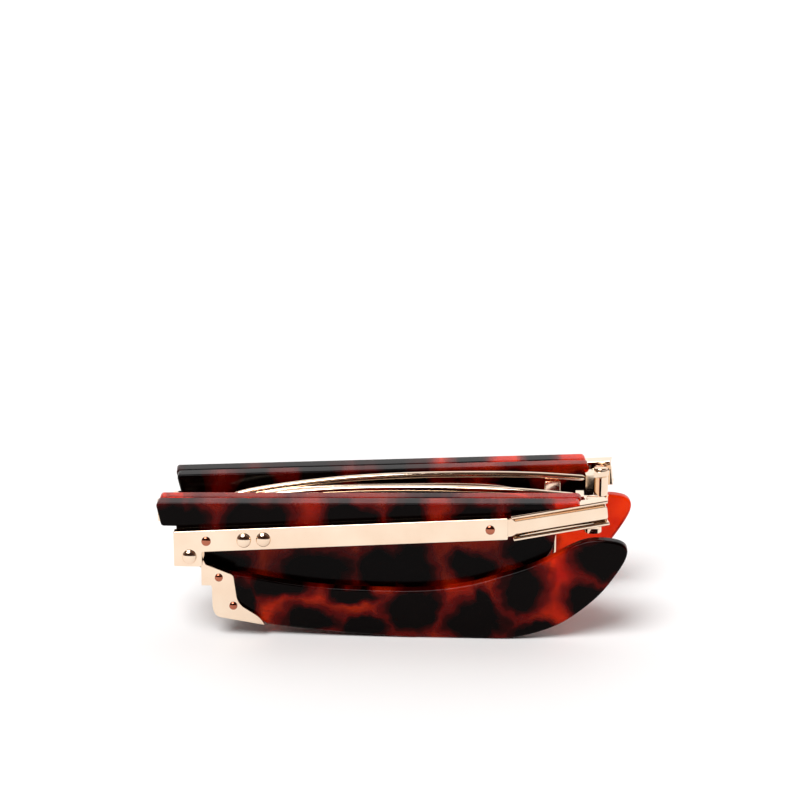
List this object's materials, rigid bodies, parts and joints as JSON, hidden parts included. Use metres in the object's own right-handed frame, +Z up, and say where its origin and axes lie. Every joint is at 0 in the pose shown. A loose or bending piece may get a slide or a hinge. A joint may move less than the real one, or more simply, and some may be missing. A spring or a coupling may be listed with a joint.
{
  "type": "folding reading glasses",
  "caption": "Reading glasses whose bridge, temple hinges and temple tips all fold, shown folded flat: gold metal frame with tortoise plastic temples and clear lenses.",
  "frame": {"origin": "middle of the folded glasses footprint, on the surface they stand on", "axes": "+X from the folding bridge towards the temple hinges, -Y towards the right temple, +Z up"},
  "size_m": [0.0774, 0.027, 0.0235],
  "materials": {
    "gold": "polished pale gold plating",
    "copper": "polished copper coloured rivet",
    "tortoise": "satin translucent red tortoise with black blotches",
    "lens": "clear polished lens",
    "nose_pad": "clear soft pad"
  },
  "bodies": {
    "right_front": {"right_rim": "gold", "right_lens": "lens", "right_brow_wire": "gold", "right_closing_block": "gold", "right_closing_screw": "copper", "right_bridge_arm": "gold", "right_bridge_pin": "gold", "right_end_piece": "gold", "right_hinge_screw": "gold", "right_pad_arm": "gold"},
    "right_pad": {"right_nose_pad": "nose_pad"},
    "right_temple": {"right_temple_liner": "tortoise", "right_temple_slab": "tortoise", "right_temple_bar": "gold", "right_hinge_channel": "gold", "right_hinge_spring": "gold", "right_pivot_screw": "gold", "right_rear_bar_rivet": "copper", "right_front_bar_rivet": "copper", "right_rear_slab_screw": "gold", "right_front_slab_screw": "gold"},
    "right_tip": {"right_temple_tip": "tortoise", "right_tip_bracket": "gold", "right_upper_bracket_rivet": "copper", "right_lower_bracket_rivet": "copper"},
    "left_front": {"left_rim": "gold", "left_lens": "lens", "left_brow_wire": "gold", "left_closing_block": "gold", "left_closing_screw": "copper", "left_bridge_arm": "gold", "left_bridge_pin": "gold", "left_end_piece": "gold", "left_hinge_screw": "gold", "left_pad_arm": "gold"},
    "left_pad": {"left_nose_pad": "nose_pad"},
    "left_temple": {"left_temple_liner": "tortoise", "left_temple_slab": "tortoise", "left_temple_bar": "gold", "left_hinge_channel": "gold", "left_hinge_spring": "gold", "left_pivot_screw": "gold", "left_rear_bar_rivet": "copper", "left_front_bar_rivet": "copper", "left_rear_slab_screw": "gold", "left_front_slab_screw": "gold"},
    "left_tip": {"left_temple_tip": "tortoise", "left_tip_bracket": "gold", "left_upper_bracket_rivet": "copper", "left_lower_bracket_rivet": "copper"},
    "bridge": {"bridge_link": "gold"}
  },
  "joints": [
    {"name": "bridge_fold_right", "type": "hinge", "parent": "right_front", "child": "bridge", "pos_m": [-0.03753, -0.00072, 0.0186], "axis": [0, 0, 1], "range_deg": [0, 123.7]},
    {"name": "bridge_fold_left", "type": "hinge", "parent": "bridge", "child": "left_front", "pos_m": [-0.03543, 0.00208, 0.0186], "axis": [0, 0, 1], "range_deg": [0, 51.4]},
    {"name": "right_temple_hinge", "type": "hinge", "parent": "right_front", "child": "right_temple", "pos_m": [0.0311, -0.00736, 0.0198], "axis": [0, 0, 1], "range_deg": [0, 92]},
    {"name": "right_tip_pivot", "type": "hinge", "parent": "right_temple", "child": "right_tip", "pos_m": [-0.03306, -0.00858, 0.0142], "axis": [0.0558, 0.9984, 0], "range_deg": [0, 149]},
    {"name": "right_pad_swivel", "type": "hinge", "parent": "right_front", "child": "right_pad", "pos_m": [-0.03004, -0.00289, 0.0139], "axis": [0, 0, 1], "range_deg": [-6, 6]},
    {"name": "left_temple_hinge", "type": "hinge", "parent": "left_front", "child": "left_temple", "pos_m": [0.03335, 0.00692, 0.0198], "axis": [0, 0, -1], "range_deg": [0, 92]},
    {"name": "left_tip_pivot", "type": "hinge", "parent": "left_temple", "child": "left_tip", "pos_m": [-0.03076, 0.00982, 0.0142], "axis": [-0.0297, 0.9996, 0], "range_deg": [0, 149]},
    {"name": "left_pad_swivel", "type": "hinge", "parent": "left_front", "child": "left_pad", "pos_m": [-0.02789, 0.00406, 0.0139], "axis": [0, 0, 1], "range_deg": [-6, 6]}
  ]
}
